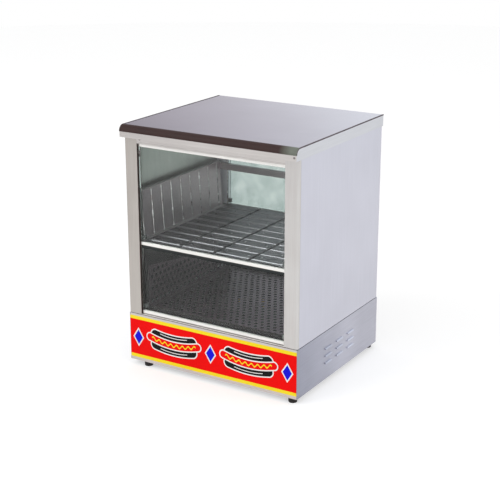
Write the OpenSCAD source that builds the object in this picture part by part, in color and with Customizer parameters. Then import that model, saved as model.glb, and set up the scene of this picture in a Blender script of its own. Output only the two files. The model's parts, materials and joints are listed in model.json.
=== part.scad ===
// Countertop hot dog steamer: a louvred base with a water pan and heating element, a glazed
// cabinet with a bun shelf over a perforated sausage basket, and four top-hung glass doors.
// Front is -Y, the operator's side with the controls is +Y. The feet stand on z = 0.

/* [Body] */
// Width over the side panels
body_w = 370; // [340:2:400]
// Depth from the front frame to the rear frame
body_d = 324; // [304:2:350]
// Height of the base panels
base_h = 95.9; // [90:0.5:108]
// Height of the cabinet over the deck, to the top of the cover
cabinet_h = 368; // [340:2:400]
// Thickness of the stainless sheet
sheet = 1; // [0.8:0.1:1.2]
// Thickness of the deck under the cabinet, which shows as a dark seam
deck_t = 1.2; // [1:0.1:2]
// How far the deck's edge lies back in the seam
seam_inset = 1.5; // [1:0.1:3]

/* [Cover] */
// Height of the cover's skirt
skirt_h = 22; // [18:0.5:26]
// Thickness of the cover's sheet
cover_t = 0.8; // [0.6:0.1:1.2]
// How far the cover stands out over the front
cover_nose = 12.5; // [10:0.1:15]
// Radius of the cover's front edge
nose_r = 11.5; // [9:0.5:14]
// Thickness of the dark nosing strip
nosing_t = 0.5; // [0.3:0.1:0.6]
// Width of the nosing's legs along the cover's side edges
nosing_leg = 1.4; // [1:0.1:2.5]

/* [Frames] */
// Width of a stile
stile_w = 27; // [22:0.5:32]
// Radius of a stile's fold round the cabinet's corner
stile_bend = 4; // [3:0.5:5]
// Depth of the frame channels
frame_d = 14; // [12.5:0.5:18]
// Height from the top of the cover down to the door opening
head_h = 33.2; // [31:0.2:38]
// Height of the sill under the lower door
sill_h = 1.2; // [1.2:0.1:5]

/* [Doors] */
// Height of a lower door from its handle to the top of its pivot strip
lower_door_h = 136.3; // [120:0.5:150]
// Gap over, under and between the doors
door_gap = 0.7; // [0.6:0.05:1]
// Gap between a door and the stile at each side
side_gap = 1; // [0.6:0.1:1.5]
// How far the door's middle plane lies behind the frame's face
door_inset = 7; // [6:0.1:8]
// Thickness of the glass
glass_t = 3; // [2.5:0.1:3.2]
// Radius of the pivot strip's round back
strip_r = 2.3; // [2.3:0.05:2.5]
// Radius of the pivot pins
pin_r = 1.5; // [1.2:0.05:1.6]
// Depth and height of the handle bar
handle_d = 6; // [5:0.1:7]
handle_h = 5.8; // [5:0.1:7]
// Radius of the pivot bushes
bush_r = 3; // [2.6:0.1:3.2]

/* [Base] */
// Radius and height of a rubber foot
foot_r = 9; // [8:0.5:12]
foot_h = 10; // [6:0.5:14]
// Distance of the left feet's and the right feet's centres from the base's side faces
foot_left_inset = 35; // [14:1:40]
foot_right_inset = 14; // [14:1:40]
// Distance of the feet's centres from the base's front and rear faces
foot_end_inset = 10.5; // [10.5:0.5:30]
// Length, width and depth of the water pan
pan_x = 260; // [220:2:270]
pan_y = 226; // [190:2:236]
pan_depth = 58; // [48:1:64]
// Radius of the heating element's tube
element_r = 4; // [3:0.5:5]
// Distance between the element's two legs
element_w = 90; // [60:2:120]
// Length of a louvre, and the steps between louvres along and up the panel
louvre_l = 25; // [20:1:30]
louvre_step = 45; // [38:1:50]
louvre_rise = 14.5; // [12:0.5:16]
// Height of the middle louvre row over the base's lower edge
louvre_z = 46; // [40:1:50]
// Bare edge under and over the decal on the fascia
decal_low_edge = 6.3; // [4:0.1:10]
decal_top_edge = 4.3; // [3:0.1:10]
// Height of the decal's stripes
stripe_h = 6.7; // [4:0.1:10]

/* [Bun shelf] */
// Height of the bun shelf's face over the deck
shelf_z = 145.9; // [135:0.5:160]
// Height of the rack wall at each side of the shelf
rack_h = 92; // [70:1:110]
// How far the top of the rack wall leans out
rack_lean = 6; // [3:0.5:8]
// Distance from the side panel to the foot of the rack wall
rack_inset = 24; // [20:1:30]
// Step of the ribs on the rack walls and the shelf
rib_step = 32.5; // [26:0.5:40]
// Radius of a rib
rib_r = 2; // [1.5:0.1:2.5]
// Step of the gutters that run from front to back
gutter_step = 75; // [60:1:90]
// Width of a gutter
gutter_w = 6; // [4:0.5:8]
// Radius of a steam hole in the shelf
steam_hole_r = 2.5; // [2:0.1:3]

/* [Sausage basket] */
// Height of the basket's floor over the deck
basket_z = 9.9; // [8:0.1:16]
// Gap between the water pan's rim and the basket's side wall
basket_gap = 11; // [8:0.5:15]
// Height of the basket's side wall over its floor, at the front and at the rear
wall_front_h = 86; // [70:1:95]
wall_rear_h = 44; // [30:1:55]
// Pitch of the perforations
perf_pitch = 13.7; // [12.5:0.1:18]
// Radius of a perforation
perf_r = 4; // [3:0.1:4.5]

/* [Controls] */
// Height of the thermostat, the switch and the lamps over the base's lower edge
control_h = 52; // [46:1:56]
// Distance from the right side to the middle of the thermostat
thermostat_inset = 77; // [72:1:80]
// Radius and length of the thermostat knob
knob_r = 18; // [14:0.5:22]
knob_l = 17; // [12:0.5:22]
// Distance from the thermostat to the rocker switch, and on to the first pilot lamp
switch_step = 46; // [44:1:50]
lamp_gap = 44; // [38:1:50]
// Distance from the left side to the cord gland, and its height over the base's lower edge
gland_inset = 39; // [32:1:44]
gland_h = 34; // [28:1:44]
// Bore of the cord gland
gland_bore_r = 4.2; // [3:0.1:5]
// How far the drain outlet stands out from the rear
rear_reach = 34; // [30:0.5:40]

/* [Hidden] */
$fn = 48;

// Cross and length places. The part is centred over its whole reach, front to rear.
screw_head = 0.8;
front_y = -(cover_nose + screw_head + body_d + rear_reach) / 2 + cover_nose + screw_head;
rear_y = front_y + body_d;
mid_y = (front_y + rear_y) / 2;
half_w = body_w / 2;
inner_x = half_w - sheet;
open_x = inner_x - stile_w;

// Heights
base_z0 = foot_h;
base_z1 = base_z0 + base_h;
cab_z0 = base_z1 + deck_t;
top_z = cab_z0 + cabinet_h;
skirt_z0 = top_z - skirt_h;
sill_z = cab_z0 + sill_h;
head_z = top_z - head_h;
panel_z1 = top_z - cover_t;

// The frames end just under the cover's rounded front edge
nose_back = max(0, nose_r - cover_nose);
nose_in = nose_r - cover_t;
frame_z1 = panel_z1 - nose_in + sqrt(nose_in * nose_in - nose_back * nose_back) - 0.3;

// Doors: the strip's axis lies strip_r and a gap under what is over it
strip_leg = 3.6;
glass_top = 2.1;
lower_z0 = sill_z + door_gap;
lower_axis_z = lower_z0 + lower_door_h - strip_r;
upper_z0 = lower_z0 + lower_door_h + door_gap;
upper_axis_z = head_z - door_gap - strip_r;
door_y = front_y + door_inset;
door_w = 2 * (open_x - side_gap);
pin_depth = 12;
pin_reach = 5;
pin_clear = 0.05;
bush_len = 4;
bush_flange = 1.2;
handle_lip = 3.5;
stop_clear = 0.3;
stop_size = 8;

// Water pan and element
pan_rim = 8;
pan_corner = 14;
pan_clear = 0.5;
pan_bottom = cab_z0 + sheet - pan_depth;
element_lift = 14;
element_gap = 12;
element_tail = 10;
terminal_l = 6;
nut_r = 9;
nut_l = 5;

// Shelf and rack
shelf_top = cab_z0 + shelf_z;
shelf_y0 = front_y + frame_d + 1;
shelf_y1 = rear_y - frame_d - 1;
shelf_lip = 12;
rack_x = inner_x - rack_inset;
rack_foot = 8;
rack_flange = 8;
rack_top = shelf_top + sheet + rack_h;
rack_y0 = shelf_y0 + 1;
rack_back = 14;
rack_y1 = shelf_y1 - rack_back;
rib_y0 = rack_y0 + 6;
rail_h = 13;
rail_t = 6;
rib_count = floor((rack_y1 - rib_y0) / rib_step);
gutter_count = floor((rack_x - rack_foot - gutter_w) / gutter_step);
gutter_d = 3;
steam_hole_spread = 24;

// Sausage basket
basket_w = pan_x + 2 * (pan_rim + basket_gap + sheet);
basket_y0 = front_y + frame_d + 2;
basket_y1 = rear_y - frame_d - 2;
basket_floor = cab_z0 + basket_z;
basket_lip = 6;
perf_edge = 12;
perf_row = perf_pitch * sqrt(3) / 2;

// Controls on the rear panel
control_z = base_z0 + control_h;
thermostat_x = half_w - thermostat_inset;
switch_x = thermostat_x - switch_step;
lamp_x = switch_x - lamp_gap;
gland_x = gland_inset - half_w;
drain_r = 6;
drain_x = -(pan_x / 2 - pan_corner - 2 * drain_r);
drain_z = pan_bottom + sheet + drain_r + 2;
valve_r = 9;
valve_y0 = 4;
valve_l = 16;
lever_l = 34;
lever_t = 2;
shaft_r = 3;
shaft_clear = 0.05;
dial_r = 29;
dial_t = 0.8;
gland_z = base_z0 + gland_h;
gland_r = 10;
gland_l = 14;
gland_nut_l = 5;
gland_tail = 6;
lamp_r = 5;
lamp_l = 5;
lamp_back = 18;
lamp_step = 22;
rocker_tilt = 9;
rocker_r = 8;
rocker_w = 11;
rocker_h = 21;
rocker_clear = 0.4;
switch_w = 16;
switch_h = 28;
switch_rim = 2;
switch_depth = 24;
skirt_screw_x = half_w - 3.5;
skirt_screw_z = skirt_z0 + 6.4;
rail_screw_x = 7 - open_x;
rail_screw_z = skirt_z0 - 3.1;
screw_r = 2;

// A block between two opposite corners
module block(a, b) {
    translate(a) cube(b - a);
}

// Children where they are, and again mirrored across the middle of the width
module both_sides() {
    children();
    mirror([1, 0, 0]) children();
}

// Children made for the front, put at the rear
module at_rear() {
    translate([0, 2 * mid_y, 0]) mirror([0, 1, 0]) children();
}

// A rod along X, Y or Z, from its start
module rod_x(r, l) {
    rotate([0, 90, 0]) cylinder(r = r, h = l);
}

module rod_y(r, l) {
    rotate([-90, 0, 0]) cylinder(r = r, h = l);
}

// A flat outline with round corners
module round_plate(w, d, r) {
    square([w - 2 * r, d], center = true);
    square([w, d - 2 * r], center = true);
    for (sx = [-1, 1])
        for (sy = [-1, 1])
            translate([sx * (w / 2 - r), sy * (d / 2 - r)]) circle(r = r);
}

// The base: four panels standing on the bottom plate

louvre_r = 3;
louvre_wall = 0.8;
base_flange = 12;

// Where the louvres of a panel lie: three along it and three up it
function louvre_places() = [
    for (i = [-1, 0, 1])
        for (j = [-1, 0, 1])
            [i * louvre_step, base_z0 + louvre_z + j * louvre_rise]
];

// A louvre on a panel whose outer face is x = 0: a half round hood, open below
module louvre_hood() {
    difference() {
        translate([0, -louvre_l / 2, 0]) rod_y(louvre_r, louvre_l);
        translate([0, louvre_wall - louvre_l / 2, 0])
            rod_y(louvre_r - louvre_wall, louvre_l - 2 * louvre_wall);
        block([-2 * louvre_r, -louvre_l, -2 * louvre_r], [0, louvre_l, 2 * louvre_r]);
        block([-1, -louvre_l, -2 * louvre_r], [2 * louvre_r, louvre_l, 0]);
    }
}

module louvre_slot() {
    block([-2 * sheet, louvre_wall - louvre_l / 2, 0],
          [sheet, louvre_l / 2 - louvre_wall, louvre_r - louvre_wall]);
}

// A base side: louvred sheet with a flange turned in under the deck
module base_side() {
    block([inner_x - base_flange, front_y + sheet, base_z1 - sheet], [inner_x, rear_y - sheet, base_z1]);
    difference() {
        block([half_w - sheet, front_y, base_z0], [half_w, rear_y, base_z1]);
        for (p = louvre_places()) translate([half_w, mid_y + p[0], p[1]]) louvre_slot();
    }
    for (p = louvre_places()) translate([half_w, mid_y + p[0], p[1]]) louvre_hood();
}

module base_left_panel() {
    color("silver") mirror([1, 0, 0]) base_side();
}

module base_right_panel() {
    color("silver") base_side();
}

module base_rear_panel() {
    color("silver")
    difference() {
        block([-inner_x, rear_y - sheet, base_z0], [inner_x, rear_y, base_z1]);
        translate([thermostat_x, rear_y - 2 * sheet, control_z]) rod_y(shaft_r + 1, 3 * sheet);
        translate([switch_x, rear_y, control_z])
            cube([switch_w, 4 * sheet, switch_h], center = true);
        for (i = [0, 1])
            translate([lamp_x - i * lamp_step, rear_y - 2 * sheet, control_z]) rod_y(lamp_r - 1, 3 * sheet);
        translate([drain_x, rear_y - 2 * sheet, drain_z]) rod_y(drain_r, 3 * sheet);
        translate([gland_x, rear_y - 2 * sheet, gland_z]) rod_y(gland_r - 3, 3 * sheet);
    }
}

module front_fascia() {
    color("gainsboro") block([-inner_x, front_y, base_z0], [inner_x, front_y + sheet, base_z1]);
}

decal_t = 0.2;
decal_z0 = base_z0 + decal_low_edge;
decal_z1 = base_z1 - decal_top_edge;

module decal_field() {
    color("red")
    block([-inner_x, front_y - decal_t, decal_z0 + stripe_h], [inner_x, front_y, decal_z1 - stripe_h]);
}

module decal_stripes() {
    color("gold")
    for (z = [decal_z0, decal_z1 - stripe_h])
        block([-inner_x, front_y - decal_t, z], [inner_x, front_y, z + stripe_h]);
}

function foot_places() = [
    for (x = [-half_w + foot_left_inset, half_w - foot_right_inset])
        for (y = [front_y + foot_end_inset, rear_y - foot_end_inset])
            [x, y]
];

foot_screw_r = 2.5;
foot_screw_head = 2;
foot_screw_end = 6;
foot_nut_r = 4.5;
foot_nut_h = 3;

module bottom_plate() {
    color("silver")
    difference() {
        block([-inner_x, front_y + sheet, base_z0], [inner_x, rear_y - sheet, base_z0 + sheet]);
        for (p = foot_places())
            translate([p[0], p[1], base_z0 - sheet]) cylinder(r = foot_screw_r, h = 3 * sheet);
    }
}

module feet() {
    color("black")
    for (p = foot_places()) translate([p[0], p[1], 0])
        difference() {
            cylinder(r1 = foot_r - 1, r2 = foot_r, h = foot_h);
            translate([0, 0, -1]) cylinder(r = foot_r / 2, h = foot_h / 2 + 1);
            cylinder(r = foot_screw_r, h = foot_h + 1);
        }
}

// A pan head screw up through each foot, with its nut on the bottom plate
module foot_screws() {
    color("gray")
    for (p = foot_places()) translate([p[0], p[1], foot_h / 2 - foot_screw_head]) {
        cylinder(r = foot_r / 2 - 0.5, h = foot_screw_head);
        cylinder(r = foot_screw_r, h = foot_h / 2 + sheet + foot_screw_end);
        translate([0, 0, foot_h / 2 + foot_screw_head + sheet])
            cylinder(r = foot_nut_r, h = foot_nut_h, $fn = 6);
    }
}

module deck() {
    color("dimgray")
    difference() {
        block([-half_w + seam_inset, front_y + seam_inset, base_z1],
              [half_w - seam_inset, rear_y - seam_inset, cab_z0]);
        translate([0, mid_y, base_z1 - 1]) linear_extrude(deck_t + 2)
            round_plate(pan_x + 2 * pan_clear, pan_y + 2 * pan_clear, pan_corner);
    }
}

// The wet end: pan, element, and the bored nuts that hold the element's legs in the pan's wall

module water_pan() {
    color("lightgray")
    difference() {
        union() {
            translate([0, mid_y, pan_bottom]) linear_extrude(pan_depth) round_plate(pan_x, pan_y, pan_corner);
            translate([0, mid_y, cab_z0]) linear_extrude(sheet)
                round_plate(pan_x + 2 * pan_rim, pan_y + 2 * pan_rim, pan_corner + pan_rim);
        }
        translate([0, mid_y, pan_bottom + sheet]) linear_extrude(pan_depth)
            round_plate(pan_x - 2 * sheet, pan_y - 2 * sheet, pan_corner - sheet);
        for (sx = [-1, 1])
            translate([sx * element_w / 2, mid_y + pan_y / 2 - 2 * sheet, pan_bottom + element_lift])
                rod_y(element_r, 4 * sheet);
        translate([drain_x, mid_y + pan_y / 2 - 2 * sheet, drain_z]) rod_y(drain_r, 4 * sheet);
    }
}

leg_y0 = mid_y - pan_y / 2 + sheet + element_gap + element_r + element_w / 2;
leg_y1 = mid_y + pan_y / 2 + element_tail;

module heating_element() {
    color("slategray")
    translate([0, 0, pan_bottom + element_lift]) {
        for (sx = [-1, 1]) translate([sx * element_w / 2, leg_y0, 0]) {
            rod_y(element_r, leg_y1 - leg_y0);
            translate([0, leg_y1 - leg_y0, 0]) rod_y(element_r / 2, terminal_l);
        }
        translate([0, leg_y0, 0]) rotate([0, 0, 180]) rotate_extrude(angle = 180)
            translate([element_w / 2, 0]) circle(r = element_r);
    }
}

module element_nuts() {
    color("goldenrod")
    for (sx = [-1, 1])
        for (y = [mid_y + pan_y / 2 - sheet - nut_l, mid_y + pan_y / 2])
            translate([sx * element_w / 2, y, pan_bottom + element_lift])
                difference() {
                    rotate([-90, 0, 0]) cylinder(r = nut_r, h = nut_l, $fn = 6);
                    translate([0, -1, 0]) rod_y(element_r, nut_l + 2);
                }
}

// Controls on the rear base panel

thermostat_w = 40;
thermostat_depth = 30;

module thermostat_body() {
    color("whitesmoke")
    translate([thermostat_x, rear_y, control_z]) {
        translate([-thermostat_w / 2, -sheet - thermostat_depth, -thermostat_w / 2])
            cube([thermostat_w, thermostat_depth, thermostat_w]);
        translate([0, -sheet, 0]) rod_y(shaft_r, sheet + dial_t + knob_l - 3);
    }
}

module dial_plate() {
    color("white")
    translate([thermostat_x, rear_y, control_z])
        difference() {
            rod_y(dial_r, dial_t);
            translate([0, -1, 0]) rod_y(shaft_r + 1, dial_t + 2);
        }
}

knob_gap = 0.5;

// The knob's skirt and its raised grip, bored for the shaft
module thermostat_knob() {
    color("black")
    translate([thermostat_x, rear_y + dial_t + knob_gap, control_z])
        difference() {
            union() {
                rod_y(knob_r, 5);
                rod_y(knob_r - 5, knob_l);
                translate([-3, 0, -knob_r + 1]) cube([6, knob_l, 2 * knob_r - 2]);
            }
            translate([0, -1, 0]) rod_y(shaft_r + shaft_clear, knob_l - 2 + 1);
        }
}

// The switch's body behind the panel and its rim in front, around the rocker's well
module switch_housing() {
    color("black")
    translate([switch_x, rear_y, control_z])
        difference() {
            union() {
                translate([-switch_w / 2, -switch_depth, -switch_h / 2])
                    cube([switch_w, switch_depth, switch_h]);
                translate([-switch_w / 2 - switch_rim, 0, -switch_h / 2 - switch_rim])
                    cube([switch_w + 2 * switch_rim, switch_rim, switch_h + 2 * switch_rim]);
            }
            translate([-rocker_w / 2 - rocker_clear, -rocker_r - 4, -rocker_h / 2 - 1])
                cube([rocker_w + 2 * rocker_clear, rocker_r + 4 + switch_rim + 1, rocker_h + 2]);
            translate([-switch_w / 2 + 1, -rocker_r / 2, 0]) rod_x(pin_r + pin_clear, switch_w - 2);
        }
}

// The rocker on its cross pin, tipped to off
module switch_rocker() {
    color("firebrick")
    translate([switch_x, rear_y - rocker_r / 2, control_z]) {
        rotate([rocker_tilt, 0, 0])
            difference() {
                translate([-rocker_w / 2, 0, 0]) rod_x(rocker_h / 2, rocker_w);
                block([-rocker_w, -rocker_h, -rocker_h], [rocker_w, -rocker_r / 2, rocker_h]);
                block([-rocker_w, rocker_r, -rocker_h], [rocker_w, rocker_h, rocker_h]);
            }
        translate([-switch_w / 2 + 1.3, 0, 0]) rod_x(pin_r, switch_w - 2.6);
    }
}

module pilot_lamps() {
    color("orange")
    for (i = [0, 1]) translate([lamp_x - i * lamp_step, rear_y, control_z]) {
        rod_y(lamp_r + 1, 2);
        rod_y(lamp_r, lamp_l);
        translate([0, -lamp_back, 0]) rod_y(lamp_r - 1, lamp_back + 1);
    }
}

module cord_gland() {
    color("black")
    translate([gland_x, rear_y, gland_z])
        difference() {
            union() {
                rotate([-90, 0, 0]) cylinder(r = gland_r, h = gland_nut_l, $fn = 6);
                rod_y(gland_r - 2, gland_l);
                translate([0, -sheet - gland_tail, 0]) rod_y(gland_r - 3, sheet + gland_tail + 1);
                translate([0, -sheet - gland_nut_l, 0])
                    rotate([-90, 0, 0]) cylinder(r = gland_r, h = gland_nut_l, $fn = 6);
            }
            translate([0, -gland_l, 0]) rod_y(gland_bore_r, 3 * gland_l);
        }
}

stem_r = 2.5;
drain_pipe_y0 = mid_y + pan_y / 2 - sheet;

// Pipe from the pan, ball valve body with its boss, and the outlet a hose slips over
module drain_valve_body() {
    color("goldenrod")
    translate([drain_x, rear_y, drain_z])
        difference() {
            union() {
                translate([0, drain_pipe_y0 - rear_y, 0]) rod_y(drain_r, rear_y - drain_pipe_y0 + rear_reach);
                rod_y(valve_r, 3);
                translate([0, valve_y0, 0]) rod_y(valve_r, valve_l);
                translate([0, valve_y0 + valve_l / 2, 0]) cylinder(r = stem_r + 2.5, h = valve_r + 3);
            }
            translate([0, drain_pipe_y0 - rear_y - 1, 0])
                rod_y(drain_r - 1.5, rear_y - drain_pipe_y0 + rear_reach + 2);
            translate([0, valve_y0 + valve_l / 2, valve_r - 1])
                cylinder(r = stem_r + shaft_clear, h = valve_r);
        }
}

lever_z = drain_z + valve_r + 3;

// The valve's stem and its flat lever, across the pipe when closed
module drain_lever() {
    color("firebrick")
    translate([drain_x, rear_y + valve_y0 + valve_l / 2, lever_z + 0.3]) {
        translate([0, 0, -3.6]) cylinder(r = stem_r, h = 3.6 + lever_t);
        cylinder(r = 5, h = lever_t);
        translate([0, -4, 0]) cube([lever_l, 8, lever_t]);
        translate([lever_l, 0, 0]) cylinder(r = 4, h = lever_t);
    }
}

// The cabinet

stile_lip = 2;
panel_seam = 0.4;
panel_edge = stile_bend + stile_lip + panel_seam;

// A side panel between the lips of the stiles, on the stiles' returns
module side_panel() {
    block([inner_x, front_y + panel_edge, cab_z0], [half_w, rear_y - panel_edge, panel_z1]);
}

module left_side_panel() {
    color("silver") mirror([1, 0, 0]) side_panel();
}

module right_side_panel() {
    color("silver") side_panel();
}

// A stile's outline seen from above, drawn in by a wall and open to the inside of the cabinet
module stile_outline(wall, back) {
    x0 = open_x + wall;
    x1 = half_w - wall;
    y0 = front_y + wall;
    r = stile_bend - wall;
    translate([x0, y0]) square([x1 - r - x0, back - y0]);
    translate([x0, y0 + r]) square([x1 - x0, back - y0 - r]);
    translate([x1 - r, y0 + r]) circle(r = r);
}

// A stile: a channel folded round the corner, with a lip in line with the side panel's face and a
// return behind the panel. Its inner return is bored for the pivot bushes.
module stile() {
    back = front_y + frame_d;
    difference() {
        union() {
            translate([0, 0, cab_z0]) linear_extrude(frame_z1 - cab_z0)
                difference() {
                    stile_outline(0, back);
                    stile_outline(sheet, back + 1);
                    translate([inner_x, front_y + stile_bend + stile_lip]) square([sheet + 1, frame_d]);
                }
            block([inner_x - sheet, front_y + stile_bend / 2, cab_z0], [inner_x, back, frame_z1]);
        }
        for (z = [lower_axis_z, upper_axis_z])
            translate([open_x - 1, door_y, z]) rod_x(bush_r, sheet + 2);
    }
}

module front_left_stile() {
    color("whitesmoke") mirror([1, 0, 0]) stile();
}

module front_right_stile() {
    color("whitesmoke") stile();
}

module rear_left_stile() {
    color("whitesmoke") at_rear() mirror([1, 0, 0]) stile();
}

module rear_right_stile() {
    color("whitesmoke") at_rear() stile();
}

groove_h = 0.8;
groove_d = 0.4;
groove_z = head_z + 2.3;
groove_bridges = [-37, 109];
bridge_w = 3;
groove_ends = concat(
    [-open_x - 1],
    [for (x = groove_bridges) for (side = [-1, 1]) x + side * bridge_w / 2],
    [open_x + 1]
);

// The rail over the doors: an angle whose face has a fine groove over its lower edge, in three parts
module top_rail() {
    difference() {
        union() {
            block([-open_x, front_y, head_z], [open_x, front_y + sheet, frame_z1]);
            block([-open_x, front_y, head_z], [open_x, front_y + frame_d, head_z + sheet]);
        }
        for (i = [0:2:len(groove_ends) - 2])
            block([groove_ends[i], front_y - 1, groove_z],
                  [groove_ends[i + 1], front_y + groove_d, groove_z + groove_h]);
    }
}

module front_top_rail() {
    color("whitesmoke") top_rail();
}

module rear_top_rail() {
    color("whitesmoke") at_rear() top_rail();
}

// The sill under the doors: a lipped angle on the deck
module sill() {
    block([-open_x, front_y, cab_z0], [open_x, front_y + sheet, sill_z]);
    block([-open_x, front_y, sill_z - sheet], [open_x, front_y + frame_d, sill_z]);
}

module front_sill() {
    color("whitesmoke") sill();
}

module rear_sill() {
    color("whitesmoke") at_rear() sill();
}

ceiling_z = skirt_z0 + 1;

module ceiling_panel() {
    color("silver")
    block([-inner_x, front_y + frame_d, ceiling_z], [inner_x, rear_y - frame_d, ceiling_z + sheet]);
}

// The cover's outline seen from the side, drawn in by a wall and reaching back to a given plane
module cover_outline(wall, back) {
    y0 = front_y - cover_nose + wall;
    z1 = top_z - wall;
    r = nose_r - wall;
    intersection() {
        translate([y0, skirt_z0]) square([back - y0, z1 - skirt_z0]);
        union() {
            translate([y0, skirt_z0]) square([back - y0, z1 - r - skirt_z0]);
            translate([y0 + r, skirt_z0]) square([back - y0 - r, z1 - skirt_z0]);
            translate([y0 + r, z1 - r]) circle(r = r);
        }
    }
}

// Turns an outline in Y and Z into a bar along X, centred on the width
module along_x(l) {
    translate([-l / 2, 0, 0]) rotate([90, 0, 90]) linear_extrude(l) children();
}

module top_cover() {
    color("silver")
    difference() {
        along_x(body_w + 2 * cover_t) cover_outline(0, rear_y);
        along_x(body_w) cover_outline(cover_t, rear_y + 1);
        translate([skirt_screw_x, front_y - cover_nose - 1, skirt_screw_z])
            rod_y(screw_r / 2, cover_t + 2);
    }
}

nosing_y1 = front_y - cover_nose + nose_r;
nosing_x1 = half_w + cover_t + nosing_t;

// A quarter ring over the cover's front edge, from an inner radius out to the nosing's face
module nosing_ring(inside) {
    difference() {
        intersection() {
            translate([nosing_y1, top_z - nose_r]) circle(r = nose_r + nosing_t);
            translate([nosing_y1 - nose_r - nosing_t, top_z - nose_r])
                square([nose_r + nosing_t, nose_r + nosing_t]);
        }
        translate([nosing_y1, top_z - nose_r]) circle(r = inside);
    }
}

// The dark strip laid round the cover's front edge, with narrow legs along the cover's side edges
module cover_nosing() {
    color("saddlebrown") {
        along_x(2 * nosing_x1) nosing_ring(nose_r);
        both_sides() {
            block([nosing_x1 - nosing_t - nosing_leg, nosing_y1 - 0.5, top_z],
                  [nosing_x1, rear_y, top_z + nosing_t]);
            translate([half_w + cover_t, 0, 0]) rotate([90, 0, 90]) linear_extrude(nosing_t) {
                nosing_ring(nose_r - nosing_leg);
                translate([nosing_y1 - 0.5, top_z - nosing_leg])
                    square([rear_y - nosing_y1 + 0.5, nosing_leg + nosing_t]);
            }
        }
    }
}

rear_screw_z = base_z1 - 7;
rear_screw_x = inner_x - 8;

// Pan head screws: one in the cover's front skirt, one in the front rail, and those of the rear panels
module case_screws() {
    color("gray") {
        translate([skirt_screw_x, front_y - cover_nose - screw_head, skirt_screw_z]) {
            rod_y(screw_r, screw_head);
            rod_y(screw_r / 2, screw_head + cover_nose);
        }
        translate([rail_screw_x, front_y - screw_head, rail_screw_z]) rod_y(screw_r, screw_head);
        both_sides() {
            for (z = [rear_screw_z, base_z0 + 9]) translate([rear_screw_x, rear_y, z])
                rod_y(screw_r + 0.5, screw_head);
            translate([rear_screw_x, rear_y, skirt_z0 + 10]) rod_y(screw_r + 0.5, screw_head);
        }
    }
}

// Flanged bushes in the stiles' returns, bored for the door pins
module pivot_bush() {
    difference() {
        union() {
            rod_x(bush_r, bush_len);
            translate([sheet, 0, 0]) rod_x(bush_r + 1, bush_flange);
        }
        translate([-1, 0, 0]) rod_x(pin_r + pin_clear, bush_len + 2);
    }
}

module bush_pair() {
    for (z = [lower_axis_z, upper_axis_z]) translate([open_x, door_y, z]) pivot_bush();
}

module pivot_bushes() {
    color("ivory") {
        both_sides() bush_pair();
        at_rear() both_sides() bush_pair();
    }
}

// Soft pads on the stiles' returns, just behind the lower corners of each glass
module stop_pair() {
    for (z = [lower_z0, upper_z0])
        block([open_x - stop_size, door_y + glass_t / 2 + stop_clear, z + handle_h + 4],
              [open_x, front_y + frame_d, z + handle_h + 4 + stop_size]);
}

module door_stops() {
    color("dimgray") {
        both_sides() stop_pair();
        at_rear() both_sides() stop_pair();
    }
}

// Doors, each drawn for the front

module door_glass(z0, axis_z) {
    block([-door_w / 2, door_y - glass_t / 2, z0 + handle_h - handle_lip],
          [door_w / 2, door_y + glass_t / 2, axis_z - glass_top]);
}

// A folded strip round the glass's top edge, bored at both ends for the pins
module door_strip(axis_z) {
    translate([0, door_y, axis_z])
        difference() {
            union() {
                translate([-door_w / 2, 0, 0]) rod_x(strip_r, door_w);
                block([-door_w / 2, -strip_r, -strip_leg], [door_w / 2, strip_r, 0]);
            }
            block([-door_w, -glass_t / 2, -strip_leg - 1], [door_w, glass_t / 2, -glass_top]);
            for (x = [-door_w / 2 - 1, door_w / 2 - pin_depth])
                translate([x, 0, 0]) rod_x(pin_r, pin_depth + 1);
        }
}

module door_handle(z0) {
    difference() {
        block([-door_w / 2, door_y - handle_d / 2, z0], [door_w / 2, door_y + handle_d / 2, z0 + handle_h]);
        block([-door_w, door_y - glass_t / 2, z0 + handle_h - handle_lip],
              [door_w, door_y + glass_t / 2, z0 + handle_h + 1]);
    }
}

module door_pins(axis_z) {
    both_sides()
        translate([door_w / 2 - pin_depth, door_y, axis_z]) rod_x(pin_r, pin_depth + side_gap + pin_reach);
}

module front_upper_glass() {
    color("lightcyan") door_glass(upper_z0, upper_axis_z);
}

module front_lower_glass() {
    color("lightcyan") door_glass(lower_z0, lower_axis_z);
}

module rear_upper_glass() {
    color("lightcyan") at_rear() door_glass(upper_z0, upper_axis_z);
}

module rear_lower_glass() {
    color("lightcyan") at_rear() door_glass(lower_z0, lower_axis_z);
}

module front_upper_strip() {
    color("white") door_strip(upper_axis_z);
}

module front_lower_strip() {
    color("dimgray") door_strip(lower_axis_z);
}

module rear_upper_strip() {
    color("white") at_rear() door_strip(upper_axis_z);
}

module rear_lower_strip() {
    color("dimgray") at_rear() door_strip(lower_axis_z);
}

module front_upper_handle() {
    color("white") door_handle(upper_z0);
}

module front_lower_handle() {
    color("white") door_handle(lower_z0);
}

module rear_upper_handle() {
    color("white") at_rear() door_handle(upper_z0);
}

module rear_lower_handle() {
    color("white") at_rear() door_handle(lower_z0);
}

module front_door_pins_upper() {
    color("gray") door_pins(upper_axis_z);
}

module front_door_pins_lower() {
    color("gray") door_pins(lower_axis_z);
}

module rear_door_pins_upper() {
    color("gray") at_rear() door_pins(upper_axis_z);
}

module rear_door_pins_lower() {
    color("gray") at_rear() door_pins(lower_axis_z);
}

// The bun compartment

rail_leg = 18;

// Angles on the side panels that carry the shelf
module shelf_rails() {
    color("silver")
    both_sides() {
        block([inner_x - sheet, shelf_y0, shelf_top - sheet - rail_leg],
              [inner_x, shelf_y1, shelf_top - sheet]);
        block([rack_x - rack_foot, shelf_y0, shelf_top - 2 * sheet], [inner_x, shelf_y1, shelf_top - sheet]);
    }
}

bay_w = gutter_step - gutter_w;

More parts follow.
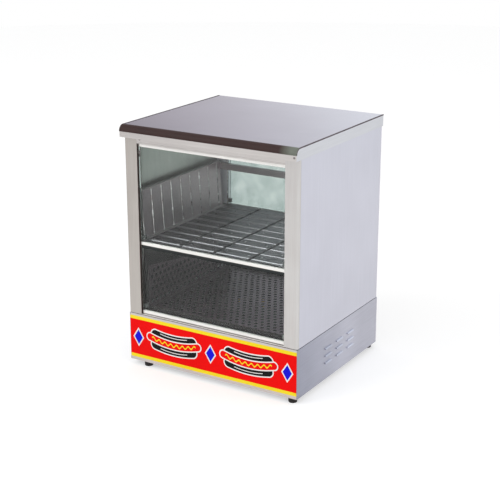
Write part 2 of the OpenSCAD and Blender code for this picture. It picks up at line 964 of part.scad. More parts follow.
// Middles of the bays between the gutters
function bay_places() = [for (i = [-gutter_count - 1:gutter_count]) (i + 0.5) * gutter_step];
function rib_places() = [for (i = [0:rib_count]) rib_y0 + i * rib_step];

// How wide a bay is: the outer ones end at the rack walls
function bay_half(x) = min(bay_w / 2, rack_x - rack_foot - 4 - abs(x));

// Steam holes: two in a row and one in the next, between the ribs of each bay
function steam_hole_places() = [
    for (x = bay_places())
        for (j = [0:rib_count - 1])
            for (s = j % 2 == 0 ? [-1, 1] : [0])
                if (bay_half(x) > steam_hole_spread + 2 * steam_hole_r)
                    [x + s * steam_hole_spread, rib_y0 + (j + 0.5) * rib_step]
];

// The pressed shelf: ribs across each bay, steam holes between the ribs, gutters between the bays
module bun_shelf() {
    color("darkslategray")
    difference() {
        union() {
            block([-inner_x + sheet, shelf_y0, shelf_top - sheet], [inner_x - sheet, shelf_y1, shelf_top]);
            for (y = [shelf_y0, shelf_y1 - sheet])
                block([-rack_x + rack_foot, y, shelf_top - shelf_lip],
                      [rack_x - rack_foot, y + sheet, shelf_top]);
            for (i = [-gutter_count:gutter_count])
                block([i * gutter_step - gutter_w / 2 - sheet, shelf_y0, shelf_top - gutter_d - sheet],
                      [i * gutter_step + gutter_w / 2 + sheet, shelf_y1, shelf_top]);
            for (x = bay_places())
                for (y = rib_places())
                    if (bay_half(x) > 4 * rib_r)
                        intersection() {
                            translate([x - bay_half(x), y, shelf_top - 0.5]) rod_x(rib_r, 2 * bay_half(x));
                            block([-half_w, y - rib_r, shelf_top - sheet],
                                  [half_w, y + rib_r, shelf_top + rib_r]);
                        }
        }
        for (i = [-gutter_count:gutter_count])
            block([i * gutter_step - gutter_w / 2, shelf_y0 - 1, shelf_top - gutter_d],
                  [i * gutter_step + gutter_w / 2, shelf_y1 + 1, shelf_top + rib_r]);
        for (p = steam_hole_places())
            translate([p[0], p[1], shelf_top - 2 * sheet])
                cylinder(r = steam_hole_r, h = 3 * sheet, $fn = 24);
    }
}

rack_angle = atan2(rack_lean, rack_h);

// A rack wall seen from the front: foot on the shelf, leaning wall, turned out top edge
module rack_outline() {
    x1 = rack_x + rack_lean;
    polygon([
        [rack_x - rack_foot, shelf_top], [rack_x + sheet, shelf_top],
        [x1 + sheet, rack_top - sheet], [x1 + rack_flange, rack_top - sheet],
        [x1 + rack_flange, rack_top], [x1, rack_top],
        [rack_x, shelf_top + sheet], [rack_x - rack_foot, shelf_top + sheet]
    ]);
}

// The wall with its upright ribs on the inner face
module rack_wall() {
    translate([0, rack_y1, 0]) rotate([90, 0, 0]) linear_extrude(rack_y1 - rack_y0) rack_outline();
    for (y = rib_places())
        intersection() {
            translate([rack_x, y, shelf_top]) rotate([0, rack_angle, 0])
                translate([sheet / 2, 0, 0]) cylinder(r = rib_r, h = rack_h + 2 * sheet);
            block([0, y - rib_r, shelf_top + sheet], [half_w, y + rib_r, rack_top - 3]);
        }
}

module rack_left_wall() {
    color("darkslategray") mirror([1, 0, 0]) rack_wall();
}

module rack_right_wall() {
    color("darkslategray") rack_wall();
}

rail_drop = 4;

// The bar across the rear ends of the rack walls
module rack_rear_rail() {
    color("darkslategray")
    block([-rack_x - rack_lean - sheet, rack_y1, rack_top - rail_drop - rail_h],
          [rack_x + rack_lean + sheet, rack_y1 + rail_t, rack_top - rail_drop]);
}

// The sausage basket

// Places of the perforations in a field, rows staggered by half a pitch
function perf_places(x0, x1, y0, y1) = [
    for (j = [0:floor((y1 - y0) / perf_row)])
        for (i = [0:floor((x1 - x0) / perf_pitch)])
            let (x = x0 + i * perf_pitch + (j % 2) * perf_pitch / 2)
                if (x <= x1) [x, y0 + j * perf_row]
];

function wall_h(y) = wall_front_h + (wall_rear_h - wall_front_h) * (y - basket_y0) / (basket_y1 - basket_y0);

// A side wall laid flat: X along the basket's depth, Y up from the deck
module basket_wall_outline() {
    difference() {
        polygon([
            [basket_y0, 0], [basket_y1, 0],
            [basket_y1, basket_z + wall_rear_h], [basket_y0, basket_z + wall_front_h]
        ]);
        for (p = perf_places(basket_y0 + perf_edge, basket_y1 - perf_edge, perf_edge,
                             wall_front_h - perf_edge / 2))
            if (p[1] + perf_edge / 2 < wall_h(p[0]))
                translate([p[0], basket_z + p[1]]) circle(r = perf_r, $fn = 24);
    }
}

module basket_wall() {
    translate([basket_w / 2 - sheet, 0, cab_z0]) rotate([90, 0, 90])
        linear_extrude(sheet) basket_wall_outline();
}

module sausage_basket() {
    color("slategray") {
        translate([0, 0, basket_floor - sheet]) linear_extrude(sheet)
            difference() {
                translate([-basket_w / 2 + sheet, basket_y0])
                    square([basket_w - 2 * sheet, basket_y1 - basket_y0]);
                for (p = perf_places(-basket_w / 2 + perf_edge, basket_w / 2 - perf_edge,
                                     basket_y0 + perf_edge, basket_y1 - perf_edge))
                    translate(p) circle(r = perf_r, $fn = 24);
            }
        both_sides() basket_wall();
        for (y = [basket_y0, basket_y1 - sheet])
            block([-basket_w / 2 + sheet, y, basket_floor - sheet],
                  [basket_w / 2 - sheet, y + sheet, basket_floor + basket_lip]);
    }
}

base_left_panel();
base_right_panel();
base_rear_panel();
front_fascia();
decal_field();
decal_stripes();
bottom_plate();
feet();
foot_screws();
deck();
water_pan();
heating_element();
element_nuts();
thermostat_body();
dial_plate();
switch_housing();
pilot_lamps();
cord_gland();
drain_valve_body();
left_side_panel();
right_side_panel();
front_left_stile();
front_right_stile();
front_top_rail();
front_sill();
rear_left_stile();
rear_right_stile();
rear_top_rail();
rear_sill();
ceiling_panel();
top_cover();
cover_nosing();
case_screws();
pivot_bushes();
door_stops();
shelf_rails();
bun_shelf();
rack_left_wall();
rack_right_wall();
rack_rear_rail();
sausage_basket();
front_upper_glass();
front_upper_strip();
front_upper_handle();
front_lower_glass();
front_lower_strip();
front_lower_handle();
rear_upper_glass();
rear_upper_strip();
rear_upper_handle();
rear_lower_glass();
rear_lower_strip();
rear_lower_handle();
front_door_pins_upper();
front_door_pins_lower();
rear_door_pins_upper();
rear_door_pins_lower();
thermostat_knob();
switch_rocker();
drain_lever();
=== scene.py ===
import json
import math

import bmesh
import bpy
from mathutils import Matrix, Vector

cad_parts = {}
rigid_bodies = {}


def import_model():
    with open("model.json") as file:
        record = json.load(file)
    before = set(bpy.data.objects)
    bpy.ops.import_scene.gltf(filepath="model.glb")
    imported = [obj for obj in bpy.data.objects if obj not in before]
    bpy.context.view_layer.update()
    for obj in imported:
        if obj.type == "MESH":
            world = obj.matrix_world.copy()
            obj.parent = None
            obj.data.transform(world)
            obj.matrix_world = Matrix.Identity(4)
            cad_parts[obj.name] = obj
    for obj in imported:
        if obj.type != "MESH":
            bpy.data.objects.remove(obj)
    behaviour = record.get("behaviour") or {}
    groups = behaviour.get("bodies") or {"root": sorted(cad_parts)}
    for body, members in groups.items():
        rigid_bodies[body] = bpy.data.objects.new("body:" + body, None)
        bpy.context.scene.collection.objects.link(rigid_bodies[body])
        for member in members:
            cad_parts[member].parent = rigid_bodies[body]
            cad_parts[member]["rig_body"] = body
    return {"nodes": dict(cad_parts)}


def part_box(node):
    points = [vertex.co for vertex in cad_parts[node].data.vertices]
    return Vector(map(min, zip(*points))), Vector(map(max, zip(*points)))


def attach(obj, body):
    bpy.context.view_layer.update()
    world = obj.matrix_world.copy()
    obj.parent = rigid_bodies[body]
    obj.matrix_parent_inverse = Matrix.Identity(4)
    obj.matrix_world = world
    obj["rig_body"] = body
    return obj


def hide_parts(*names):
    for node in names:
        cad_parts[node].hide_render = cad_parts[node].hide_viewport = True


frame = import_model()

MM = 0.001
scene = bpy.context.scene
scene.view_settings.view_transform = "Standard"
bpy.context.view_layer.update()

# Camera: a long lens 2.4 m away, above and to the right of the front, solved from the perspective of
# the photograph's straight edges. The photograph's middle lies a hair off the lens's own axis.
PHOTO_PX = 500
FOCAL_PX = 1219.9
AXIS_PX = (252.15, 246.42)
SENSOR_MM = 36
CAMERA_PLACE = (1.1596, -1.9272, 0.9475)
TURN, TILT = math.radians(31.34), math.radians(17.87)
camera = bpy.data.objects.new("camera", bpy.data.cameras.new("camera"))
camera.data.sensor_width = SENSOR_MM
camera.data.lens = FOCAL_PX / PHOTO_PX * SENSOR_MM
camera.data.shift_x = 0.5 - AXIS_PX[0] / PHOTO_PX
camera.data.shift_y = AXIS_PX[1] / PHOTO_PX - 0.5
camera.location = CAMERA_PLACE
camera.rotation_euler = (math.pi / 2 - TILT, 0, TURN)
scene.collection.objects.link(camera)
scene.camera = camera


def linear(code):
    """An sRGB hex colour as linear light, with alpha."""
    parts = [int(code[i:i + 2], 16) / 255 for i in (1, 3, 5)]
    return [p / 12.92 if p <= 0.04045 else ((p + 0.055) / 1.055) ** 2.4 for p in parts] + [1.0]


def add(tree, kind, sockets=None, **settings):
    """Adds a node. A socket takes a value, or another node's output as a link."""
    node = tree.nodes.new(kind)
    for key, value in settings.items():
        setattr(node, key, value)
    for key, value in (sockets or {}).items():
        if isinstance(value, bpy.types.NodeSocket):
            tree.links.new(value, node.inputs[key])
        else:
            node.inputs[key].default_value = value
    return node


def ray_kinds(tree):
    """A Light Path node, and an output that is 1 for the rays that show the background itself: those of
    the camera, and those that come through glass."""
    path = add(tree, "ShaderNodeLightPath")
    seen = add(tree, "ShaderNodeMath", {0: path.outputs["Is Camera Ray"],
                                        1: path.outputs["Is Transmission Ray"]}, operation="MAXIMUM")
    return path, seen.outputs[0]


# Studio: a white room that the camera and the glass see as plain white. The light that falls on the part
# is weaker than that white, so that a colour renders about as it is written. What shines mirrors a room
# whose left side, told by the X of a direction, is dimmer and pinker than the rest.
DAYLIGHT = 0.80
LEFT_WALL_X, REST_X = -0.62, -0.36
LEFT_WALL_LEVEL, REST_LEVEL = 0.58, 1.35
LEFT_WALL_HUE, REST_HUE = "#FFF8FF", "#F4FBFF"
world = bpy.data.worlds.new("studio")
world.use_nodes = True
scene.world = world
tree = world.node_tree
tree.nodes.clear()
path, seen = ray_kinds(tree)
direction = add(tree, "ShaderNodeSeparateXYZ", {0: add(tree, "ShaderNodeTexCoord").outputs["Generated"]})
side = add(tree, "ShaderNodeMapRange", {
    "Value": direction.outputs["X"], "From Min": LEFT_WALL_X, "From Max": REST_X})
wall = add(tree, "ShaderNodeMapRange", {
    "Value": side.outputs[0], "To Min": LEFT_WALL_LEVEL, "To Max": REST_LEVEL})
mirrored = add(tree, "ShaderNodeMix", {0: path.outputs["Is Glossy Ray"], 2: DAYLIGHT, 3: wall.outputs[0]})
level = add(tree, "ShaderNodeMix", {0: seen, 2: mirrored.outputs[0], 3: 1.0})
hue = add(tree, "ShaderNodeMix", {
    0: side.outputs[0], 6: linear(LEFT_WALL_HUE), 7: linear(REST_HUE)}, data_type="RGBA")
shade = add(tree, "ShaderNodeMix", {
    0: path.outputs["Is Glossy Ray"], 6: linear("#FFFFFF"), 7: hue.outputs[2]}, data_type="RGBA")
sky = add(tree, "ShaderNodeBackground", {"Color": shade.outputs[2], "Strength": level.outputs[0]})
add(tree, "ShaderNodeOutputWorld", {"Surface": sky.outputs[0]})

# Floor: pale board that glows for the camera, the glass and the metal only, so it keeps the part's
# shadow. What the metal mirrors of it is dimmer on the left.
FLOOR_RADIUS = 5.0
FLOOR_GLOW = 0.45
DIM_X, BRIGHT_X = -1.1, -0.1
DIM_GLOW, BRIGHT_GLOW = 0.22, 0.46
shape = bmesh.new()
bmesh.ops.create_circle(shape, cap_ends=True, segments=64, radius=FLOOR_RADIUS)
floor = bpy.data.objects.new("floor", bpy.data.meshes.new("floor"))
shape.to_mesh(floor.data)
scene.collection.objects.link(floor)
pale = bpy.data.materials.new("pale_board")
pale.use_nodes = True
tree = pale.node_tree
tree.nodes.clear()
path, seen = ray_kinds(tree)
shown = add(tree, "ShaderNodeMath", {0: seen, 1: FLOOR_GLOW}, operation="MULTIPLY")
spot = add(tree, "ShaderNodeSeparateXYZ", {0: add(tree, "ShaderNodeNewGeometry").outputs["Position"]})
across = add(tree, "ShaderNodeMapRange", {
    "Value": spot.outputs["X"], "From Min": DIM_X, "From Max": BRIGHT_X,
    "To Min": DIM_GLOW, "To Max": BRIGHT_GLOW})
mirrored = add(tree, "ShaderNodeMath", {
    0: path.outputs["Is Glossy Ray"], 1: across.outputs[0]}, operation="MULTIPLY")
glow = add(tree, "ShaderNodeMath", {0: shown.outputs[0], 1: mirrored.outputs[0]})
board = add(tree, "ShaderNodeBsdfPrincipled", {
    "Base Color": linear("#D0D0D0"), "Roughness": 0.9, "Specular IOR Level": 0.1,
    "Emission Color": linear("#FFFFFF"), "Emission Strength": glow.outputs[0]})
add(tree, "ShaderNodeOutputMaterial", {"Surface": board.outputs[0]})
floor.data.materials.append(pale)

# Two soft lamps, each with its place, its size in metres and its watts: a large one over the front left
# and a smaller one over the right. Both point near the part's middle.
LAMPS = {"front_lamp": ((-1.6, -2.4, 2.3), 2.2, 42.0), "side_lamp": ((2.6, 0.2, 1.9), 1.6, 16.0)}
AIM = Vector((0, 0, 0.25))
for name, (place, size, watts) in LAMPS.items():
    lamp = bpy.data.objects.new(name, bpy.data.lights.new(name, "AREA"))
    lamp.data.size = size
    lamp.data.energy = watts
    lamp.location = place
    lamp.rotation_euler = (AIM - Vector(place)).to_track_quat("-Z", "Y").to_euler()
    scene.collection.objects.link(lamp)

# Every finish mixes two noises, whose sum lies mostly between these values. A full bump stands RELIEF
# millimetres high.
NOISE_LOW, NOISE_HIGH = 0.7, 1.3
RELIEF = 0.2


def finish(name, dark, light, grain, cloud, rough, bump=0.0, painted_fade=None, **sockets):
    """A surface that varies between two colours. grain is the size of its fine pattern along X, Y and Z
    and cloud that of its broad patches, in millimetres. rough is the span of its roughness. A painted fade
    paints shade or reflection across it: a direction, the places along it in metres where a tint is full
    and where it has gone, and the tint."""
    made = bpy.data.materials.new(name)
    made.use_nodes = True
    tree = made.node_tree
    tree.nodes.clear()
    place = add(tree, "ShaderNodeTexCoord").outputs["Object"]
    stretched = add(tree, "ShaderNodeMapping", {
        "Vector": place, "Scale": [1 / (size * MM) for size in grain]})
    fine = add(tree, "ShaderNodeTexNoise", {
        "Vector": stretched.outputs[0], "Scale": 1.0, "Detail": 3.0, "Roughness": 0.6})
    broad = add(tree, "ShaderNodeTexNoise", {"Vector": place, "Scale": 1 / (cloud * MM), "Detail": 2.0})
    both = add(tree, "ShaderNodeMath", {0: fine.outputs["Fac"], 1: broad.outputs["Fac"]})
    span = {"Value": both.outputs[0], "From Min": NOISE_LOW, "From Max": NOISE_HIGH}
    share = add(tree, "ShaderNodeMapRange", span)
    colour = add(tree, "ShaderNodeMix", {
        0: share.outputs[0], 6: linear(dark), 7: linear(light)}, data_type="RGBA")
    roughness = add(tree, "ShaderNodeMapRange", {**span, "To Min": rough[0], "To Max": rough[1]})
    tint = colour.outputs[2]
    if painted_fade:
        way, full, gone, shade = painted_fade
        along = add(tree, "ShaderNodeVectorMath", {0: place, 1: way}, operation="DOT_PRODUCT")
        left = add(tree, "ShaderNodeMapRange", {
            "Value": along.outputs["Value"], "From Min": full, "From Max": gone})
        shade_mix = add(tree, "ShaderNodeMix", {
            0: left.outputs[0], 6: linear(shade), 7: linear("#FFFFFF")}, data_type="RGBA")
        tint = add(tree, "ShaderNodeMix", {
            0: 1.0, 6: tint, 7: shade_mix.outputs[2]}, data_type="RGBA", blend_type="MULTIPLY").outputs[2]
    ready = {key.replace("_", " "): value for key, value in sockets.items()}
    surface = add(tree, "ShaderNodeBsdfPrincipled", {
        "Base Color": tint, "Roughness": roughness.outputs[0], **ready})
    if bump:
        relief = add(tree, "ShaderNodeBump", {
            "Height": fine.outputs["Fac"], "Strength": bump, "Distance": RELIEF * MM})
        tree.links.new(relief.outputs[0], surface.inputs["Normal"])
    add(tree, "ShaderNodeOutputMaterial", {"Surface": surface.outputs[0]})
    return made


def keep(finish_name, *nodes):
    """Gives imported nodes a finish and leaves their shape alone."""
    for node in nodes:
        data = frame["nodes"][node].data
        data.materials.clear()
        data.materials.append(bpy.data.materials[finish_name])


def stands_for(piece, *nodes):
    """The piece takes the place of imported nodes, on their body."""
    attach(piece, frame["nodes"][nodes[0]]["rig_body"])
    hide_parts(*nodes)


def on_body(piece, body):
    """A piece with no node of its own rides on a body."""
    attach(piece, body)


def settled(piece):
    """Turns what the modifiers make into the piece's plain mesh."""
    plain = bpy.data.meshes.new_from_object(piece.evaluated_get(bpy.context.evaluated_depsgraph_get()))
    piece.modifiers.clear()
    piece.data = plain
    return piece


CREASE = math.radians(35)
FLAT = math.radians(0.5)
MERGE = 0.002


def new_piece(name, finish_name, points=(), faces=()):
    """A mesh piece at the origin, shaded smooth except over creases."""
    mesh = bpy.data.meshes.new(name)
    mesh.from_pydata(points, [], faces)
    piece = bpy.data.objects.new(name, mesh)
    scene.collection.objects.link(piece)
    mesh.materials.append(bpy.data.materials[finish_name])
    mesh.shade_smooth()
    mesh.set_sharp_from_angle(angle=CREASE)
    return piece


def eased(name, node, finish_name, edge, segments=2):
    """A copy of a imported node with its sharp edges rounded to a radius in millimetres."""
    packed = frame["nodes"][node].data
    piece = new_piece(name, finish_name, [v.co.copy() for v in packed.vertices],
                      [p.vertices[:] for p in packed.polygons])
    shape = bmesh.new()
    shape.from_mesh(piece.data)
    bmesh.ops.remove_doubles(shape, verts=shape.verts, dist=MERGE * MM)
    bmesh.ops.dissolve_limit(shape, angle_limit=FLAT, verts=shape.verts, edges=shape.edges)
    shape.to_mesh(piece.data)
    piece.data.set_sharp_from_angle(angle=CREASE)
    bevel = piece.modifiers.new("round", "BEVEL")
    bevel.width = edge * MM
    bevel.segments = segments
    bevel.limit_method = "ANGLE"
    bevel.angle_limit = CREASE
    bevel.harden_normals = True
    settled(piece)
    stands_for(piece, node)
    return piece


def second_finish(piece, finish_name, chosen):
    """Gives the faces that a test picks, by their normal and middle, another finish."""
    piece.data.materials.append(bpy.data.materials[finish_name])
    for face in piece.data.polygons:
        if chosen(face.normal, face.center):
            face.material_index = len(piece.data.materials) - 1


# Base: louvred side panels, a rear panel and a floor of 1 mm stainless sheet, pressed, folded and screwed
# together. Brushing draws a highlight out across its lines, and the mill finish of the floor is duller.
# The seen grain is coarser than real brushing, which is too fine to show from 2.4 m.
GRAIN_W, GRAIN_L = 1.43, 71.4
ALONG_X = (GRAIN_L, GRAIN_W, GRAIN_W)
ALONG_Y = (GRAIN_W, GRAIN_L, GRAIN_W)
UPRIGHT = (GRAIN_W, GRAIN_W, GRAIN_L)
# The skirts are painted darker towards the front, as a painted reflection.
finish("brushed_stainless_base", "#A9A9B4", "#BDBDC8", ALONG_Y, 111, (0.30, 0.42), 0.12,
       painted_fade=((0, 1, 0), -0.17, 0.02, "#D8DADF"), Metallic=1.0)
for side in ("left", "right"):
    eased(f"louvred_{side}_skirt", f"base_{side}_panel", "brushed_stainless_base", 0.25)
finish("brushed_stainless_rear", "#B4B4BA", "#C6C6CC", ALONG_X, 111, (0.30, 0.42), 0.12, Metallic=1.0)
eased("rear_control_panel", "base_rear_panel", "brushed_stainless_rear", 0.3)
finish("mill_stainless_floor", "#8A8A90", "#9A9AA0", ALONG_X, 83.3, (0.38, 0.5), 0.1, Metallic=1.0)
eased("bottom_pan", "bottom_plate", "mill_stainless_floor", 0.3)


def even(size):
    """A grain of one size in every direction."""
    return (size, size, size)


# Feet: four moulded rubber feet, turned shapes with a groove round the middle, each held by a pan head
# screw up its middle. The left ones are set further in than the right ones. Rubber is dull and a little
# brown where it catches the light, and the screws' zinc is a soft grey.
finish("moulded_rubber", "#14100F", "#241D1B", even(1.11), 16.7, (0.55, 0.7), 0.3, Specular_IOR_Level=0.35)
finish("zinc_screws", "#7A7474", "#918B8A", even(1.67), 12.5, (0.3, 0.45), 0.05, Metallic=1.0)
FOOT_R = 9
TURN_STEPS = 32
foot_low, foot_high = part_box("feet")
foot_places = [(x, y, foot_low.z) for x in (foot_low.x + FOOT_R * MM, foot_high.x - FOOT_R * MM)
               for y in (foot_low.y + FOOT_R * MM, foot_high.y - FOOT_R * MM)]


def closed(piece):
    """Merges a shell's doubles, fills its open ends, turns its faces outward and marks its creases."""
    shape = bmesh.new()
    shape.from_mesh(piece.data)
    bmesh.ops.remove_doubles(shape, verts=shape.verts, dist=MERGE * MM)
    bmesh.ops.holes_fill(shape, edges=shape.edges, sides=0)
    bmesh.ops.recalc_face_normals(shape, faces=shape.faces)
    shape.to_mesh(piece.data)
    piece.data.set_sharp_from_angle(angle=CREASE)
    return piece


def turned(name, finish_name, profile):
    """A shape turned round Z. The profile's radii and heights are in millimetres."""
    points, faces = [], []
    for radius, height in profile:
        for i in range(TURN_STEPS):
            angle = 2 * math.pi * i / TURN_STEPS
            points.append(Vector((radius * math.cos(angle), radius * math.sin(angle), height)) * MM)
    for low in range(0, len(points) - TURN_STEPS, TURN_STEPS):
        for i in range(TURN_STEPS):
            k = (i + 1) % TURN_STEPS
            faces.append((low + i, low + k, low + TURN_STEPS + k, low + TURN_STEPS + i))
    return closed(new_piece(name, finish_name, points, faces))


def spread_tree(name):
    """Geometry Nodes that put a part at each point of the mesh they work on."""
    tree = bpy.data.node_groups.new(name, "GeometryNodeTree")
    face = tree.interface
    face.new_socket("Places", in_out="INPUT", socket_type="NodeSocketGeometry")
    face.new_socket("Part", in_out="INPUT", socket_type="NodeSocketObject")
    face.new_socket("Turn", in_out="INPUT", socket_type="NodeSocketVector")
    face.new_socket("Finish", in_out="INPUT", socket_type="NodeSocketMaterial")
    face.new_socket("Pieces", in_out="OUTPUT", socket_type="NodeSocketGeometry")
    given = add(tree, "NodeGroupInput")
    part = add(tree, "GeometryNodeObjectInfo", {"Object": given.outputs["Part"], "As Instance": True})
    turn = add(tree, "FunctionNodeEulerToRotation", {0: given.outputs["Turn"]})
    copies = add(tree, "GeometryNodeInstanceOnPoints", {
        "Points": given.outputs["Places"], "Instance": part.outputs["Geometry"],
        "Rotation": turn.outputs[0]})
    real = add(tree, "GeometryNodeRealizeInstances", {0: copies.outputs[0]})
    coated = add(tree, "GeometryNodeSetMaterial", {
        "Geometry": real.outputs[0], "Material": given.outputs["Finish"]})
    add(tree, "NodeGroupOutput", {0: coated.outputs[0]})
    return tree


SPREAD = spread_tree("part_at_each_place")


def spread(name, part, places, finish_name, turn=(0, 0, 0)):
    """One mesh with a copy of a part at each place. The part itself goes."""
    piece = new_piece(name, finish_name, places)
    modifier = piece.modifiers.new("spread", "NODES")
    modifier.node_group = SPREAD
    given = {"Part": part, "Turn": turn, "Finish": bpy.data.materials[finish_name]}
    for item in SPREAD.interface.items_tree:
        if item.name in given:
            modifier[item.identifier] = given[item.name]
    settled(piece)
    bpy.data.objects.remove(part)
    return piece


foot = turned("foot", "moulded_rubber", [
    (4.5, 0), (7.4, 0), (7.9, 0.25), (8.1, 0.8), (8.4, 4.2), (8.0, 4.5), (8.0, 5.1), (8.45, 5.4),
    (8.75, 8.6), (8.9, 9.6), (8.6, 10), (2.6, 10), (2.6, 5), (4.5, 5), (4.5, 0)])
stands_for(spread("rubber_feet", foot, foot_places, "moulded_rubber"), "feet")
keep("zinc_screws", "foot_screws")

# Fascia: a satin stainless strip on the front of the base, which carries a decal of screen printed vinyl:
# a red field between yellow stripes, and a row of sausage rolls with lozenges between them. The strip
# has a soft sheen, and the vinyl shows flat, full colour with hardly any shine.
finish("satin_stainless_front", "#BFBAB7", "#CFCAC7", ALONG_X, 111, (0.30, 0.42), 0.08, Metallic=1.0)
eased("fascia_strip", "front_fascia", "satin_stainless_front", 0.25)
VINYLS = {"red_vinyl": ("#F00000", "#FF0404"), "yellow_vinyl": ("#FFE11E", "#FFEC3A"),
          "black_vinyl": ("#08080A", "#131316"), "white_vinyl": ("#F4F1EE", "#FCFAF8"),
          "blue_vinyl": ("#140AD2", "#1E14EA")}
for name, (dark, light) in VINYLS.items():
    finish(name, dark, light, even(3.33), 71.4, (0.45, 0.6), 0.03, Specular_IOR_Level=0.12)
keep("red_vinyl", "decal_field")
keep("yellow_vinyl", "decal_stripes")
FILM = 0.08
LAYER = 0.1
field_low, field_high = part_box("decal_field")
field_z = (field_low.z + field_high.z) / 2


def prisms(name, finish_name, outlines, step):
    """Straight bars of any outline, as one mesh. An outline is a list of points in metres round one end,
    and step leads from there to the other end."""
    points, faces = [], []
    for outline in outlines:
        first, count = len(points), len(outline)
        for away in (Vector(), Vector(step)):
            points += [Vector(point) + away for point in outline]
        faces.append([first + i for i in range(count)])
        faces.append([first + count + i for i in reversed(range(count))])
        for i in range(count):
            k = (i + 1) % count
            faces.append((first + k, first + i, first + count + i, first + count + k))
    return closed(new_piece(name, finish_name, points, faces))


def on_decal(layer):
    """The middle of the decal's field, a number of film layers in front of it."""
    return Vector((0, field_low.y - layer * LAYER * MM, field_z))


def film(name, finish_name, outlines, middle, body="root"):
    """Pieces of thin film in one plane. Outlines are in millimetres round the middle."""
    placed = [[middle + Vector((x, 0, z)) * MM for x, z in outline] for outline in outlines]
    piece = prisms(name, finish_name, placed, (0, FILM * MM, 0))
    on_body(piece, body)
    return piece


def roll(middle, half, radius, lift, bend, steps=14):
    """A round ended bar in outline, bent up at both ends."""
    def curve(u):
        return lift + bend * (u / half) ** 2

    def end(sign, i):
        angle = math.pi * i / steps - sign * math.pi / 2
        return (middle + sign * half + radius * math.cos(angle), curve(half) + radius * math.sin(angle))

    along = [-half + 2 * half * i / steps for i in range(steps + 1)]
    under = [(middle + u, curve(u) - radius) for u in along]
    over = [(middle + u, curve(u) + radius) for u in reversed(along)]
    inner = range(1, steps)
    return under + [end(1, i) for i in inner] + over + [end(-1, i) for i in inner]


def wave(middle, half, rise, lift, bend, width, turns, steps=90):
    """A wavy line along the sausage, as an outline of even width."""
    def at(i, side):
        u = -half + 2 * half * i / steps
        z = lift + bend * (u / half) ** 2 + rise * math.sin(turns * math.pi * (1 + u / half))
        return (middle + u, z + side * width / 2)

    return [at(i, -1) for i in range(steps + 1)] + [at(i, 1) for i in reversed(range(steps + 1))]


def lozenge(middle, half_w, half_h):
    """A lozenge in outline."""
    return [(middle - half_w, 0), (middle, -half_h), (middle + half_w, 0), (middle, half_h)]


ROLLS_X = (-83, 83)
LOZENGES_X = (-165, 0, 165)
BORDER = 2.4
BREAD_HALF, BREAD_R, BREAD_BEND = 42, 9.5, 4.5
BREAD_LIFTS = (-11.5, 8.5)
GLINT_HALF, GLINT_R, GLINT_BEND = 30, 0.7, 3
GLINT_LIFTS = (-16.5, 13.5)
SAUSAGE_HALF, SAUSAGE_R, SAUSAGE_BEND, SAUSAGE_LIFT = 54, 7, 8, -1.5
MUSTARD_HALF, MUSTARD_RISE, MUSTARD_BEND, MUSTARD_W, MUSTARD_TURNS = 50, 2.7, 7, 2.8, 7.5
LOZENGE_W, LOZENGE_H = 9.6, 15.2
LOZENGE_RIM_W, LOZENGE_RIM_H = 12.5, 19.5
film("roll_borders", "white_vinyl", [roll(x, BREAD_HALF, BREAD_R + BORDER, lift, BREAD_BEND)
                                     for x in ROLLS_X for lift in BREAD_LIFTS], on_decal(1))
film("rolls", "black_vinyl", [roll(x, BREAD_HALF, BREAD_R, lift, BREAD_BEND)
                              for x in ROLLS_X for lift in BREAD_LIFTS], on_decal(2))
film("roll_glints", "white_vinyl", [roll(x, GLINT_HALF, GLINT_R, lift, GLINT_BEND)
                                    for x in ROLLS_X for lift in GLINT_LIFTS], on_decal(3))
film("sausage_borders", "white_vinyl", [roll(x, SAUSAGE_HALF, SAUSAGE_R + BORDER, SAUSAGE_LIFT, SAUSAGE_BEND)
                                        for x in ROLLS_X], on_decal(4))
film("sausages", "red_vinyl", [roll(x, SAUSAGE_HALF, SAUSAGE_R, SAUSAGE_LIFT, SAUSAGE_BEND)
                               for x in ROLLS_X], on_decal(5))
film("mustard_lines", "yellow_vinyl",
     [wave(x, MUSTARD_HALF, MUSTARD_RISE, SAUSAGE_LIFT, MUSTARD_BEND, MUSTARD_W, MUSTARD_TURNS)
      for x in ROLLS_X], on_decal(6))
film("lozenge_borders", "white_vinyl", [lozenge(x, LOZENGE_RIM_W, LOZENGE_RIM_H) for x in LOZENGES_X],
     on_decal(1))
film("lozenges", "blue_vinyl", [lozenge(x, LOZENGE_W, LOZENGE_H) for x in LOZENGES_X], on_decal(2))

# Deck: a flat dark sheet laid between base and cabinet, set back so that it shows only as a dull, nearly
# black seam
finish("dark_deck_sheet", "#0E0C0F", "#181619", ALONG_X, 50, (0.55, 0.7), 0.05, Specular_IOR_Level=0.2)
keep("dark_deck_sheet", "deck")


def rods(name, finish_name, lines, radius, sides=10):
    """Round rods between pairs of points, as one mesh. All sizes are in millimetres."""
    points, faces = [], []
    for start, end in lines:
        start, end = Vector(start), Vector(end)
        across = (end - start).orthogonal().normalized()
        beside = (end - start).normalized().cross(across)
        first = len(points)
        for place in (start, end):
            for i in range(sides):
                angle = 2 * math.pi * i / sides
                out = across * math.cos(angle) + beside * math.sin(angle)
                points.append((place + out * radius) * MM)
        for i in range(sides):
            k = (i + 1) % sides
            faces.append((first + i, first + k, first + sides + k, first + sides + i))
        faces.append([first + i for i in reversed(range(sides))])
        faces.append([first + sides + i for i in range(sides)])
    return new_piece(name, finish_name, points, faces)


